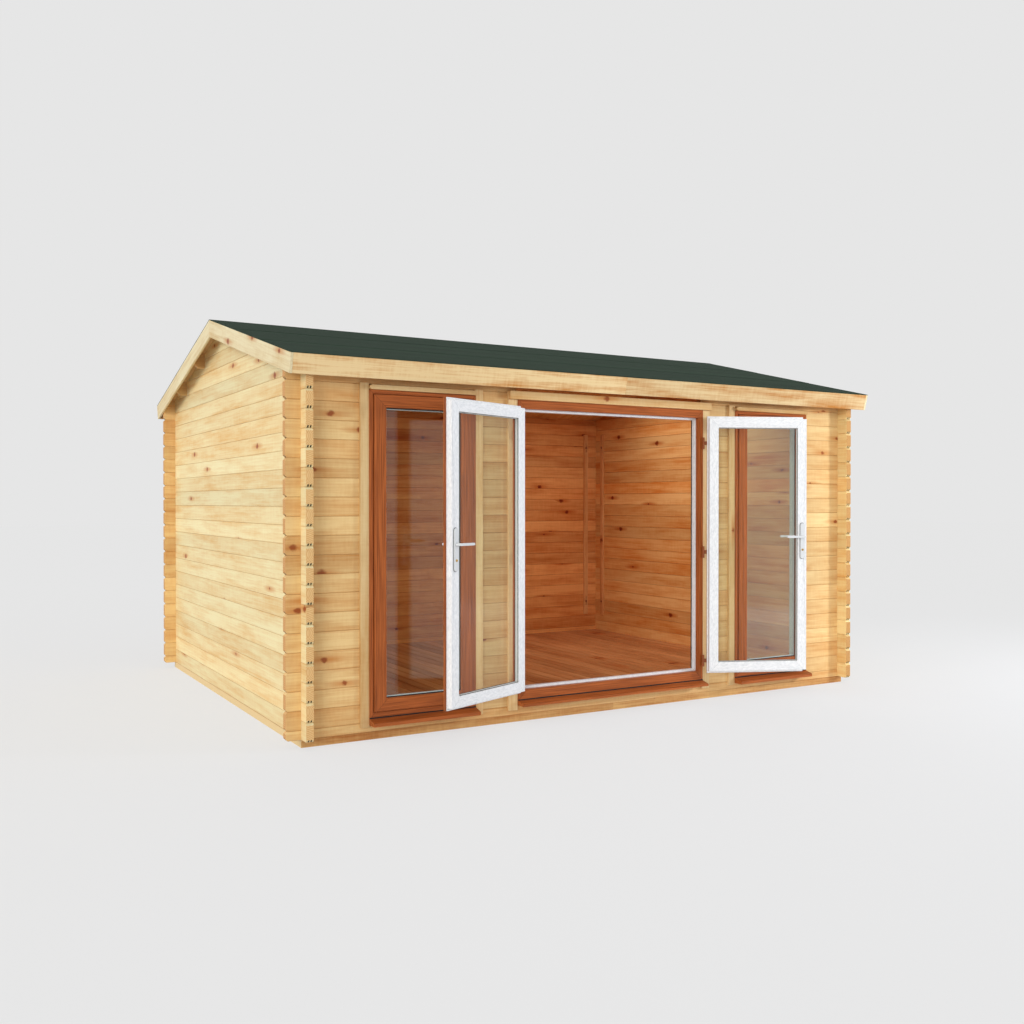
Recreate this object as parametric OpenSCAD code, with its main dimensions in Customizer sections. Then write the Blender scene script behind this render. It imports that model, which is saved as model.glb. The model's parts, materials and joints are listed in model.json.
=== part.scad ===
// Garden office: an interlocking log cabin with a felted gable roof, a pair of glazed doors that open
// outwards and a tall window at each side of them. X runs along the front, Y to the back and Z up.
// The origin is on the ground, at the middle of the plan.

/* [Logs] */
// Length of the front and back logs, end to end
log_len_x = 4500; // [4460:10:5400]
// Length of the side logs, end to end
log_len_y = 3500; // [3000:10:4200]
// Thickness of a log
log_t = 44; // [40:1:50]
// Height of one course of logs
course = 110; // [104:1:120]
// How far a log runs past the wall that it crosses
log_end = 90; // [70:1:120]
// Bevel on the corners of a log's end
end_bevel = 13; // [6:1:16]
// Bevel along a log's edges, which makes the V of each seam
seam_bevel = 3; // [1:0.5:4]
// Gap left at every bearing face between logs
log_gap = 0.4; // [0.2:0.1:0.8]
// Courses of whole logs in a side wall, below the gable
side_courses = 19; // [18:1:21]

/* [Tongues and grooves] */
// Width of a tongue at its root
tongue_w = 8; // [6:0.5:9]
// Height of a tongue
tongue_h = 6; // [4:0.5:7]
// Spacing of the two tongues
tongue_pitch = 16; // [14:0.5:18]
// Side play of a tongue in its groove
tongue_play = 0.6; // [0.4:0.1:1]
// Room left over a tongue in its groove
groove_room = 9; // [3:0.5:10]

/* [Base and floor] */
// Height of the bearers and the joists
base_h = 45; // [40:1:70]
// Width of a bearer under the walls
bearer_w = 70; // [60:1:95]
// Width of a floor joist
joist_w = 45; // [35:1:60]
// Joists at each side of the middle one
joists_each_side = 3; // [2:1:4]
// Thickness of the floor boards
floor_t = 18; // [16:1:28]

/* [Roof] */
// Pitch of the roof, in degrees
pitch = 14; // [12:0.5:16]
// Rise of the roof's underside over the side walls' top, at the front face
eaves_rise = 94; // [86:1:104]
// Overhang of the roof past the front and back walls
eaves_over = 160; // [140:1:220]
// Thickness of the roof boards
deck_t = 18; // [16:1:22]
// Thickness of the roofing felt
felt_t = 4; // [3:0.5:6]
// Height of the fascia boards and bargeboards
board_h = 115; // [100:1:122]
// Thickness of the fascia boards and bargeboards
board_t = 16; // [14:1:20]
// Gap between the logs' ends and the bargeboards
verge_gap = 1; // [0.5:0.5:4]
// Width of a purlin
purlin_w = 44; // [40:1:60]
// Height of a purlin
purlin_h = 95; // [80:1:110]
// Cut at the lower corner of a purlin's end
purlin_end = 40; // [20:1:60]
// Spacing of the purlins on the plan
purlin_pitch = 600; // [540:5:620]

/* [Door frame] */
// Width of the door frame
door_w = 1504; // [1440:4:1560]
// Depth of the door and window frames, flush with the wall's inside
frame_depth = 70; // [66:1:76]
// Face width of the door frame's sides
door_side = 36; // [34:1:46]
// Face width of the door frame's head
door_rail = 56; // [48:1:62]
// Face width of the door frame's threshold
door_foot = 66; // [56:1:72]
// How much lower the door frame's head lies than the windows'
door_drop = 10; // [0:1:20]
// Height of the stop inside the rebate
stop_h = 14; // [10:1:20]
// Depth of the inner, white half of a frame
white_depth = 34; // [30:1:36]
// Height from the log below to the top of a sill
sill_h = 37; // [32:1:44]
// Projection of a sill past the wall's face
sill_out = 90; // [70:1:100]
// Fall of a sill's top towards the front
sill_fall = 17; // [8:1:20]
// Room left over the frames for the logs to settle
settle = 33; // [29:1:45]

/* [Doors] */
// Angle at which the left door stands open
left_open = 157; // [90:1:172]
// Angle at which the right door stands open
right_open = 157; // [90:1:172]
// Running gap round a door leaf
leaf_gap = 5; // [5:0.5:7]
// Face width of a leaf's members
leaf_member = 65; // [60:1:75]
// Thickness of a leaf's lip, from its white back to its oak face
leaf_face = 12; // [11:1:14]
// Thickness of a leaf's oak face
oak_t = 6; // [5:0.5:7]
// Lip of a leaf over the sides of the door frame
side_lip = 6; // [5:1:10]
// Lip of a leaf over the head and threshold of the door frame
rail_lip = 16; // [12:1:18]
// Lap of the left leaf over the right one
meet_lap = 12.5; // [10:0.5:16]
// Thickness of the glazing units
glass_t = 20; // [18:1:24]
// Set-back of the glazing behind the face of its sash or leaf
glass_in = 20; // [18:1:22]
// Distance from a leaf's lip to its hinge axis
hinge_off = 23; // [22:1:25]
// Radius of a hinge knuckle
knuckle_r = 8; // [7:0.5:8]
// Radius of a hinge pin
hinge_pin_r = 3.5; // [3:0.5:4]
// Play of the pin in the leaf's knuckle
pin_play = 0.5; // [0.4:0.1:0.8]
// Thickness of a hinge strap
strap_t = 6; // [4:0.5:7]
// Height of a hinge knuckle
knuckle_h = 26; // [20:1:30]
// Distance of the lowest hinge from the foot of a leaf
hinge_foot = 57; // [50:1:120]
// Distance of the highest hinge from the head of a leaf
hinge_head = 185; // [150:5:220]

/* [Handles] */
// Height of the lever's spindle over the ground
handle_z = 1148; // [1000:1:1200]
// Height of a handle plate
plate_h = 250; // [220:1:260]
// Share of a handle plate that lies below the spindle
plate_below = 0.62; // [0.55:0.01:0.7]
// Width of a handle plate
plate_w = 30; // [26:1:34]
// Thickness of a handle plate
plate_t = 10; // [8:1:12]
// Length of a lever from its spindle
lever_len = 125; // [110:1:135]
// Height of a lever's grip
lever_h = 15; // [12:1:20]
// Radius of the spindle
spindle_r = 5; // [4:0.5:6]

/* [Windows] */
// Width of a window frame
win_w = 700; // [640:5:740]
// Share of the spare wall at a window that lies between it and the doors
near_share = 0.373; // [0.3:0.001:0.6]
// Face width of a window's outer frame
win_frame = 24; // [20:1:30]
// Face width of a window's sash
win_sash = 76; // [66:1:80]
// Shadow gap between a window's frame and its sash
win_shadow = 3; // [2:0.5:4]
// How far a sash stands in front of its frame
sash_out = 9; // [6:1:12]
// Extra height of a window frame's foot
win_foot = 11; // [0:1:16]
// How far a window sill's nose hangs in front of the log below
nose_drop = 18; // [5:1:24]

/* [Trim] */
// Width of the boards beside the windows and over the doors
trim_w = 53; // [46:1:60]
// Width of the boards beside the doors
post_w = 66; // [50:1:72]
// Thickness of the boards beside the openings
trim_t = 18; // [15:1:20]
// How far the boards beside the openings run down past the sills' seat
trim_foot = 24; // [10:1:40]
// How far the boards beside the windows lap the top log
trim_lap = 5; // [2:1:10]
// Height of the bead over a window
bead_h = 27; // [20:1:28]
// Projection of the board over the doors and of the beads over the windows
head_out = 40; // [24:1:50]
// Gap left under the top log, over the head boards
head_gap = 35; // [10:1:40]
// Gap between pieces that sit side by side
fit_gap = 0.4; // [0.2:0.1:0.8]
// Width of a storm batten
batten_w = 45; // [40:1:60]
// Thickness of a storm batten
batten_t = 20; // [18:1:28]
// Distance of a storm batten from the corner of the room
batten_off = 110; // [80:5:150]
// Height of a storm batten's foot over the floor
batten_up = 165; // [100:5:200]
// Length of the bolt slots in a storm batten
slot_len = 90; // [60:5:120]
// Width of the bolt slots in a storm batten
slot_w = 11; // [9:1:14]

/* [Hidden] */
$fn = 32;

pine = "#D8AE72";
shaded_pine = "#C08F58";
oak_foil = "#9E4F2A";
white_foil = "#F0EFEA";
felt_green = "#36443C";
clear_glass = [0.75, 0.82, 0.8, 0.35];
hinge_brown = "#5B3A28";
cut = 1;

// Plan of the walls, at their outer faces
half_w = log_len_x / 2 - log_end;
half_d = log_len_y / 2 - log_end;
wall_y = -half_d;
notch = course / 4;
// Seams of the side walls and of the front and back walls, half a course apart
side_top = base_h + side_courses * course;
open_z0 = base_h + course / 2;
front_courses = side_courses - 1;
open_z1 = open_z0 + front_courses * course;
// Roof: the ridge of the felt's top, and the slope's length to the face of the fascia
under_felt = felt_t + fit_gap / 2;
under_depth = under_felt + deck_t;
under_ridge = side_top + eaves_rise + half_d * tan(pitch);
ridge_z = under_ridge + under_depth / cos(pitch);
slope_len = (half_d + eaves_over) / cos(pitch);
verge_x = half_w + log_end + verge_gap;
gable_courses = ceil((under_ridge - side_top) / course);
purlin_rows = [for (i = [-2 : 2]) i * purlin_pitch];
// Frames in the front wall
frame_z0 = open_z0 + sill_h;
frame_z1 = open_z1 - settle;
face_y = log_t - frame_depth;
stop_y = log_t - white_depth;
// A window takes its place from the doors and from the corner of the walls
near_need = post_w + trim_w + 4 * fit_gap;
far_need = trim_w + 2 * fit_gap;
win_spare = half_w - log_t - door_w / 2 - win_w - near_need - far_need;
win_off = door_w / 2 + near_need + near_share * win_spare + win_w / 2;
win_edges = [win_off - win_w / 2, win_off + win_w / 2];
win_border = win_frame + win_shadow + win_sash;
win_z0 = frame_z0 - win_foot;
door_z1 = frame_z1 - door_drop;
head_top = door_z1 + trim_w;
// Door leaf, closed: distances are from the middle of the doorway, y from the wall's outer face
leaf_x = door_w / 2 - door_side - leaf_gap;
leaf_z0 = frame_z0 + door_foot + leaf_gap;
leaf_z1 = door_z1 - door_rail - leaf_gap;
leaf_y0 = face_y - leaf_gap;
leaf_out = leaf_y0 - leaf_face;
oak_back = leaf_out + oak_t;
leaf_y1 = stop_y - leaf_gap;
meet_x = leaf_gap;
pivot_x = leaf_x + side_lip + hinge_off;
pivot_y = leaf_out - cut;
hinge_low = leaf_z0 + hinge_foot;
hinge_high = leaf_z1 - hinge_head;
hinge_zs = [hinge_low, (hinge_low + hinge_high) / 2, hinge_high];
knuckle_gap = 1;
handle_x = meet_x + leaf_member / 2;
plate_z0 = handle_z - plate_h * plate_below;

// Logs

// Section of a log of height h: bevelled edges, two tongues on top and two grooves below
function tongue(c, z, w, d) = [[c + w / 2, z], [c + w / 2 - 1, z + d], [c - w / 2 + 1, z + d], [c - w / 2, z]];
function reversed(list) = [for (i = [len(list) - 1 : -1 : 0]) list[i]];
module log_section(h) {
    left = (log_t - tongue_pitch) / 2;
    right = (log_t + tongue_pitch) / 2;
    groove_w = tongue_w + 2 * tongue_play;
    groove_d = tongue_h + groove_room;
    polygon(concat(
        [[0, seam_bevel], [seam_bevel, 0]],
        reversed(tongue(left, 0, groove_w, groove_d)),
        reversed(tongue(right, 0, groove_w, groove_d)),
        [[log_t - seam_bevel, 0], [log_t, seam_bevel], [log_t, h - seam_bevel], [log_t - seam_bevel, h]],
        tongue(right, h, tongue_w, tongue_h),
        tongue(left, h, tongue_w, tongue_h),
        [[seam_bevel, h], [0, h - seam_bevel]]));
}

// Side view of a log from a to b: notches as pairs of places, bevelled where an end is free
module log_outline(a, b, h, notches, below, above, free_a, free_b) {
    top = h + tongue_h + cut;
    rise = tongue_h + cut;
    bevel_a = free_a ? end_bevel : 0;
    bevel_b = free_b ? end_bevel : 0;
    start = free_a ? [[a, bevel_a], [a + bevel_a + cut, -cut]] : [[a, -cut]];
    turn = free_b ? [[b - bevel_b - cut, -cut], [b, bevel_b], [b, h - bevel_b], [b - bevel_b - rise, top]]
                  : [[b, -cut], [b, top]];
    finish = free_a ? [[a + bevel_a + rise, top], [a, h - bevel_a]] : [[a, top]];
    low = [for (n = notches) if (below > 0)
        each [[n[0], -cut], [n[0], below], [n[1], below], [n[1], -cut]]];
    high = [for (n = reversed(notches)) if (above > 0)
        each [[n[1], top], [n[1], h - above], [n[0], h - above], [n[0], top]]];
    polygon(concat(start, low, turn, high, finish));
}

// The places where a log is notched for the two walls that it crosses, outer faces at -half and half
function crossings(half) = [[-half - log_gap, -half + log_t + log_gap], [half - log_t - log_gap, half + log_gap]];

// A log along X with its outer face at y, seam line at z
module log_x(a, b, y, z, h, notches, below, above, free_a = true, free_b = true) {
    translate([0, y, z]) intersection() {
        translate([a, 0, 0]) rotate([90, 0, 90]) linear_extrude(b - a) log_section(h);
        translate([0, log_t + cut, 0]) rotate([90, 0, 0]) linear_extrude(log_t + 2 * cut)
            log_outline(a, b, h, notches, below, above, free_a, free_b);
    }
}

// A log along Y with its outer face at x
module log_y(x, z, h, notches, below, above) {
    a = -log_len_y / 2;
    b = log_len_y / 2;
    translate([x, 0, z]) intersection() {
        translate([0, b, 0]) rotate([90, 0, 0]) linear_extrude(b - a) log_section(h);
        translate([-cut, 0, 0]) rotate([90, 0, 90]) linear_extrude(log_t + 2 * cut)
            log_outline(a, b, h, notches, below, above, true, true);
    }
}

// Front and back walls: a half log, whole courses, then a log planed to the roof
log_h = course - log_gap;
half_log_h = course / 2 - log_gap;
x_ends = [-log_len_x / 2, log_len_x / 2];
x_cross = crossings(half_w);
y_cross = crossings(half_d);
notch_cut = notch + log_gap / 2;

module bottom_log(y) {
    log_x(x_ends[0], x_ends[1], y, base_h, half_log_h, x_cross, 0, notch - log_gap / 2);
}
module plate_logs(y, doorway) {
    difference() {
        log_x(x_ends[0], x_ends[1], y, open_z1, log_h, x_cross, notch_cut, notch_cut);
        if (doorway) block([-door_w / 2 - fit_gap, y - cut, open_z1 - cut],
                           [door_w / 2 + fit_gap, y + log_t + cut, head_top + head_gap]);
    }
    difference() {
        log_x(x_ends[0], x_ends[1], y, open_z1 + course, log_h, x_cross, notch_cut, 0);
        roof_space();
    }
}
// A stretch of wall in the front, from a to b, between the bottom log and the top logs
module wall_stretch(a, b, notches, free_a, free_b) {
    for (i = [0 : front_courses - 1])
        log_x(a, b, wall_y, open_z0 + i * course, log_h, notches, notch_cut, notch_cut, free_a, free_b);
}
module side_wall(x) {
    for (i = [0 : side_courses - 1])
        log_y(x, base_h + i * course, log_h, y_cross, i == 0 ? notch - log_gap / 2 : notch_cut, notch_cut);
}
module gable(x) {
    for (i = [0 : gable_courses - 1]) {
        difference() {
            log_y(x, side_top + i * course, log_h, y_cross, i == 0 ? notch_cut : 0, i == 0 ? notch_cut : 0);
            roof_space();
            purlin_room();
        }
    }
}

// Roof

// A point on the front slope: s down the slope from the ridge, d below the felt's top
function slope_pt(s, d) = [-s * cos(pitch) + d * sin(pitch), ridge_z - s * sin(pitch) - d * cos(pitch)];
function ridge_pt(d) = [-fit_gap / 2, ridge_z - d / cos(pitch) - fit_gap / 2 * tan(pitch)];
function under_z(y) = under_ridge - abs(y) * tan(pitch);

// A prism along X over a Y and Z outline
module along_x(a, b) {
    translate([a, 0, 0]) rotate([90, 0, 90]) linear_extrude(b - a) children();
}
module both_slopes() {
    children();
    mirror([0, 1, 0]) children();
}
// Everything over the underside of the roof boards, for planing the logs
module roof_space() {
    y = half_d + eaves_over;
    along_x(-verge_x, verge_x) polygon([
        [-y, under_z(y) - log_gap], [0, under_ridge - log_gap], [y, under_z(y) - log_gap],
        [y, under_ridge + course * 2], [-y, under_ridge + course * 2]]);
}
module purlin_outline(y, room) {
    a = y - purlin_w / 2 - room;
    b = y + purlin_w / 2 + room;
    z = under_z(y) - purlin_h - room;
    top = room > 0 ? course : -fit_gap;
    peak = y == 0 ? [[0, under_z(0) + top]] : [];
    polygon(concat([[a, z], [b, z], [b, under_z(b) + top]], peak, [[a, under_z(a) + top]]));
}
module purlin_room() {
    for (y = purlin_rows)
        along_x(-verge_x, verge_x) purlin_outline(y, log_gap);
}
module slab(a, b, from, to, end) {
    along_x(a, b) polygon([ridge_pt(from), slope_pt(end, from), slope_pt(end, to), ridge_pt(to)]);
}
module fascia_board(a, b) {
    along_x(a, b) polygon([
        slope_pt(slope_len - board_t, under_felt), slope_pt(slope_len, under_felt),
        slope_pt(slope_len, under_felt + board_h), slope_pt(slope_len - board_t, under_felt + board_h)]);
}
module fascia() {
    fascia_board(-verge_x + fit_gap, -fit_gap / 2);
    fascia_board(fit_gap / 2, verge_x - fit_gap);
}
module bargeboards(x) {
    both_slopes() slab(x, x + board_t, under_felt, under_felt + board_h, slope_len);
}

// Frames, doors and windows

// A box between two corners
module block(p, q) {
    translate(p) cube(q - p);
}
// A rectangular ring, its opening inset by side, by rail at the head and by foot below
module ring(x0, x1, z0, z1, y0, y1, side, rail, foot) {
    difference() {
        block([x0, y0, z0], [x1, y1, z1]);
        block([x0 + side, y0 - cut, z0 + foot], [x1 - side, y1 + cut, z1 - rail]);
    }
}
// Places local to the front wall: y from its outer face
module at_front() {
    translate([0, wall_y, 0]) children();
}
// A sill under a frame from a to b, seated on the log's tongues, with a top that falls to the front and,
// where drop is more than 0, a nose that hangs in front of the log
module sill(a, b, top, drop) {
    seat_z = open_z0 + tongue_h;
    nose = drop > 0 ? [[-sill_out, seat_z - drop], [-fit_gap, seat_z - drop], [-fit_gap, seat_z]]
                    : [[-sill_out, seat_z]];
    at_front() along_x(a + fit_gap, b - fit_gap) polygon(concat(nose, [
        [log_t, seat_z], [log_t, top], [face_y, top], [-sill_out, top - sill_fall]]));
}
module trim_post(x, w, top) {
    at_front() block([x, -trim_t, open_z0 - trim_foot], [x + w, -fit_gap, top]);
}
module head_bead(a, b) {
    at_front() translate([0, -fit_gap, frame_z1 + fit_gap + bead_h / 2]) rotate([90, 0, 0])
        linear_extrude(head_out - fit_gap) {
            translate([a + bead_h / 2, -bead_h / 2]) square([b - a - bead_h, bead_h]);
            translate([a + bead_h / 2, 0]) circle(d = bead_h);
            translate([b - bead_h / 2, 0]) circle(d = bead_h);
        }
}
module window_frame(x) {
    a = x - win_w / 2;
    b = x + win_w / 2;
    inset = win_frame + win_shadow;
    at_front() {
        ring(a, b, win_z0, frame_z1, face_y, stop_y, win_frame, win_frame, win_frame + win_foot);
        ring(a + inset, b - inset, frame_z0 + inset, frame_z1 - inset, face_y - sash_out, stop_y,
             win_sash, win_sash, win_sash);
    }
}
module window_inner(x) {
    at_front() ring(x - win_w / 2, x + win_w / 2, win_z0, frame_z1, stop_y, log_t,
                    win_border, win_border, win_border + win_foot);
}
module window_pane(x) {
    inset = win_border + fit_gap;
    y = face_y - sash_out + glass_in;
    at_front() block([x - win_w / 2 + inset, y, frame_z0 + inset],
                     [x + win_w / 2 - inset, y + glass_t, frame_z1 - inset]);
}

// A door leaf is drawn closed at the left of the doorway, then swung about its hinge axis
module swing(side, angle) {
    at_front() mirror([side > 0 ? 1 : 0, 0, 0])
        translate([-pivot_x, pivot_y, 0]) rotate([0, 0, -angle]) translate([pivot_x, -pivot_y, 0]) children();
}
module spindle_hole(r) {
    translate([-handle_x, leaf_out - plate_t - cut, handle_z]) rotate([-90, 0, 0])
        cylinder(r = r, h = leaf_y1 - leaf_out + 2 * (plate_t + cut));
}
// The lip of a leaf between two depths: over the frame, and clear of the other leaf where that one laps it
module leaf_rim(laps, y0, y1) {
    meet = laps ? -meet_x : -meet_lap - leaf_gap;
    difference() {
        block([-leaf_x - side_lip, y0, leaf_z0 - rail_lip], [meet, y1, leaf_z1 + rail_lip]);
        block([-leaf_x + leaf_member, y0 - cut, leaf_z0 + leaf_member],
              [-meet_x - leaf_member, y1 + cut, leaf_z1 - leaf_member]);
    }
}
module leaf_outer(laps) {
    difference() {
        union() {
            leaf_rim(laps, leaf_out, oak_back);
            if (laps) block([-meet_x - cut, leaf_out, leaf_z0 - rail_lip],
                            [meet_lap, oak_back, leaf_z1 + rail_lip]);
        }
        spindle_hole(spindle_r + cut);
    }
}
module leaf_inner(laps) {
    difference() {
        union() {
            leaf_rim(laps, oak_back, leaf_y0);
            ring(-leaf_x, -meet_x, leaf_z0, leaf_z1, leaf_y0, leaf_y1, leaf_member, leaf_member, leaf_member);
        }
        spindle_hole(spindle_r + cut);
    }
}
module leaf_glass() {
    inset = leaf_member + fit_gap;
    y = leaf_out + glass_in;
    block([-leaf_x + inset, y, leaf_z0 + inset], [-meet_x - inset, y + glass_t, leaf_z1 - inset]);
}
module knuckle(z, h, r) {
    translate([-pivot_x, pivot_y, z]) cylinder(r = r, h = h);
}
// The leaf's half of a hinge: the middle knuckle, with a strap on the outer face
module leaf_hinge(z) {
    difference() {
        union() {
            knuckle(z, knuckle_h, knuckle_r);
            block([-pivot_x, leaf_out - strap_t, z], [-leaf_x, leaf_out, z + knuckle_h]);
        }
        knuckle(z - cut, knuckle_h + 2 * cut, hinge_pin_r + pin_play);
    }
}
// The frame's half: two knuckles on a plate, and the pin through all three
module frame_hinge(z) {
    low = z - knuckle_h - knuckle_gap;
    high = z + knuckle_h + knuckle_gap;
    knuckle(low, high + knuckle_h - low, hinge_pin_r);
    for (base = [low, high]) {
        knuckle(base, knuckle_h, knuckle_r);
        block([-pivot_x - knuckle_r, pivot_y, base], [-pivot_x, face_y, base + knuckle_h]);
    }
}
// A plate with round ends on each face of the leaf
module handle_plate(y) {
    translate([-handle_x, y + plate_t, plate_z0]) rotate([90, 0, 0]) linear_extrude(plate_t) {
        translate([-plate_w / 2, plate_w / 2]) square([plate_w, plate_h - plate_w]);
        for (z = [plate_w / 2, plate_h - plate_w / 2])
            translate([0, z]) circle(d = plate_w);
    }
}
module handle_plates() {
    difference() {
        union() {
            handle_plate(leaf_y1);
            handle_plate(leaf_out - plate_t);
        }
        spindle_hole(spindle_r + cut);
    }
}
// Both levers on one spindle, pointing to the hinges
module lever() {
    reach = 34;
    neck_r = 8;
    grip_t = 12;
    inside = leaf_y1 + plate_t + cut;
    outside = leaf_out - plate_t - cut;
    translate([-handle_x, outside - reach, handle_z]) rotate([-90, 0, 0])
        cylinder(r = spindle_r, h = inside - outside + 2 * reach);
    for (y = [inside, outside - reach])
        translate([-handle_x, y, handle_z]) rotate([-90, 0, 0]) cylinder(r = neck_r, h = reach);
    for (y = [inside + reach - grip_t, outside - reach])
        translate([-handle_x, y + grip_t, handle_z]) rotate([90, 0, 0]) linear_extrude(grip_t) {
            translate([-lever_len + lever_h / 2, -lever_h / 2]) square([lever_len - lever_h / 2, lever_h]);
            translate([-lever_len + lever_h / 2, 0]) circle(d = lever_h);
            circle(d = lever_h);
        }
}

// Nodes

module bearers() {
    inner = half_d - bearer_w;
    color(shaded_pine) {
        for (y = [-half_d, inner])
            block([-half_w, y, 0], [half_w, y + bearer_w, base_h]);
        for (x = [-half_w, half_w - bearer_w])
            block([x, -inner + fit_gap, 0], [x + bearer_w, inner - fit_gap, base_h]);
    }
}
module floor_joists() {
    x = half_w - bearer_w - fit_gap;
    spacing = (half_d - bearer_w) / (joists_each_side + 1);
    color(shaded_pine)
        for (i = [-joists_each_side : joists_each_side])
            block([-x, i * spacing - joist_w / 2, 0], [x, i * spacing + joist_w / 2, base_h]);
}
module floor() {
    x = half_w - log_t - fit_gap;
    y = half_d - log_t - fit_gap;
    color(pine) block([-x, -y, base_h], [x, y, base_h + floor_t]);
}
module front_wall_bottom_log() { color(pine) bottom_log(wall_y); }
module front_wall_left() {
    color(pine) wall_stretch(x_ends[0], -win_edges[1] - fit_gap, [x_cross[0]], true, false);
}
module front_wall_mid_left() {
    color(pine) wall_stretch(-win_edges[0] + fit_gap, -door_w / 2 - fit_gap, [], false, false);
}
module front_wall_mid_right() {
    color(pine) wall_stretch(door_w / 2 + fit_gap, win_edges[0] - fit_gap, [], false, false);
}
module front_wall_right() {
    color(pine) wall_stretch(win_edges[1] + fit_gap, x_ends[1], [x_cross[1]], false, true);
}
module front_wall_top() { color(pine) plate_logs(wall_y, true); }
module back_wall() {
    y = half_d - log_t;
    color(pine) {
        bottom_log(y);
        for (i = [0 : front_courses - 1])
            log_x(x_ends[0], x_ends[1], y, open_z0 + i * course, log_h, x_cross, notch_cut, notch_cut);
        plate_logs(y, false);
    }
}
module left_wall() { color(pine) side_wall(-half_w); }
module right_wall() { color(pine) side_wall(half_w - log_t); }
module left_gable() { color(pine) gable(-half_w); }
module right_gable() { color(pine) gable(half_w - log_t); }
// Purlins run out to the bargeboards, with the lower corner of each end cut back
module purlins() {
    x = verge_x - fit_gap;
    color(shaded_pine)
        for (y = purlin_rows)
            intersection() {
                along_x(-x, x) purlin_outline(y, 0);
                translate([0, y + purlin_w, under_z(y) - purlin_h]) rotate([90, 0, 0])
                    linear_extrude(2 * purlin_w) polygon([
                        [-x, purlin_end], [-x + purlin_end, 0], [x - purlin_end, 0], [x, purlin_end],
                        [x, 2 * purlin_h], [-x, 2 * purlin_h]]);
            }
}
module roof_deck() {
    end = slope_len - board_t - fit_gap;
    color(shaded_pine) both_slopes() slab(-verge_x, verge_x, under_felt, under_depth, end);
}
module roof_felt() {
    x = verge_x + board_t;
    color(felt_green) both_slopes() slab(-x, x, 0, felt_t, slope_len);
}
module front_fascia() { color(pine) fascia(); }
module rear_fascia() { color(pine) mirror([0, 1, 0]) fascia(); }
module left_bargeboards() { color(pine) bargeboards(-verge_x - board_t); }
module right_bargeboards() { color(pine) bargeboards(verge_x); }
module door_frame_outer() {
    color(oak_foil) at_front()
        ring(-door_w / 2, door_w / 2, frame_z0, door_z1, face_y, stop_y, door_side, door_rail, door_foot);
}
module door_frame_inner() {
    color(white_foil) at_front()
        ring(-door_w / 2, door_w / 2, frame_z0, door_z1, stop_y, log_t,
             door_side + stop_h, door_rail + stop_h, door_foot + stop_h);
}
module door_sill() { color(oak_foil) sill(-door_w / 2, door_w / 2, frame_z0, 0); }
// Boards beside the doors, with a head board across the tops of both
module door_trim() {
    outer = door_w / 2 + post_w + fit_gap;
    color(pine) {
        trim_post(-outer, post_w, door_z1);
        trim_post(door_w / 2 + fit_gap, post_w, door_z1);
        at_front() block([-outer, -head_out, door_z1 + fit_gap], [outer, -fit_gap, head_top]);
    }
}
module frame_hinges() {
    color(hinge_brown)
        for (side = [0, 1])
            at_front() mirror([side, 0, 0])
                for (z = hinge_zs)
                    frame_hinge(z);
}
module left_window_frame() { color(oak_foil) window_frame(-win_off); }
module left_window_inner() { color(white_foil) window_inner(-win_off); }
module right_window_frame() { color(oak_foil) window_frame(win_off); }
module right_window_inner() { color(white_foil) window_inner(win_off); }
module window_glass() {
    color(clear_glass)
        for (x = [-win_off, win_off])
            window_pane(x);
}
module window_sills() {
    color(oak_foil)
        for (x = [-win_off, win_off])
            sill(x - win_w / 2, x + win_w / 2, win_z0, nose_drop);
}
// Boards at the inner side of each window and at the outer side of the left one, as the photo shows
module window_trim() {
    beside = win_w / 2 + trim_w + fit_gap;
    color(pine) {
        for (x = [-win_off - beside, -win_off + win_w / 2 + fit_gap, win_off - beside])
            trim_post(x, trim_w, open_z1 + trim_lap);
        for (x = [-win_off, win_off])
            head_bead(x - win_w / 2, x + win_w / 2);
    }
}
// A storm batten lying on the wall at y = 0 and facing -Y, with a bolt slot near each end
module storm_batten() {
    foot = base_h + floor_t + batten_up;
    head = side_top - batten_w;
    difference() {
        block([-batten_w / 2, -batten_t, foot], [batten_w / 2, 0, head]);
        for (z = [foot + slot_len, head - 2 * slot_len])
            block([-slot_w / 2, -batten_t - cut, z], [slot_w / 2, cut, z + slot_len]);
    }
}
module storm_battens() {
    x = half_w - log_t - fit_gap;
    y = half_d - log_t - fit_gap;
    from_corner = batten_off + batten_w / 2;
    color(pine)
        for (mx = [0, 1], my = [0, 1])
            mirror([mx, 0, 0]) mirror([0, my, 0]) {
                translate([x - from_corner, y, 0]) storm_batten();
                translate([x, y - from_corner, 0]) rotate([0, 0, -90]) storm_batten();
            }
}
module left_leaf_outer() { color(oak_foil) swing(-1, left_open) leaf_outer(true); }
module left_leaf_inner() { color(white_foil) swing(-1, left_open) leaf_inner(true); }
module left_leaf_glass() { color(clear_glass) swing(-1, left_open) leaf_glass(); }
module left_leaf_hinges() {
    color(hinge_brown) swing(-1, left_open)
        for (z = hinge_zs)
            leaf_hinge(z);
}
module left_handle_plates() { color(white_foil) swing(-1, left_open) handle_plates(); }
module left_lever() { color(white_foil) swing(-1, left_open) lever(); }
module right_leaf_outer() { color(oak_foil) swing(1, right_open) leaf_outer(false); }
module right_leaf_inner() { color(white_foil) swing(1, right_open) leaf_inner(false); }
module right_leaf_glass() { color(clear_glass) swing(1, right_open) leaf_glass(); }
module right_leaf_hinges() {
    color(hinge_brown) swing(1, right_open)
        for (z = hinge_zs)
            leaf_hinge(z);
}
module right_handle_plates() { color(white_foil) swing(1, right_open) handle_plates(); }
module right_lever() { color(white_foil) swing(1, right_open) lever(); }

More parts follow.
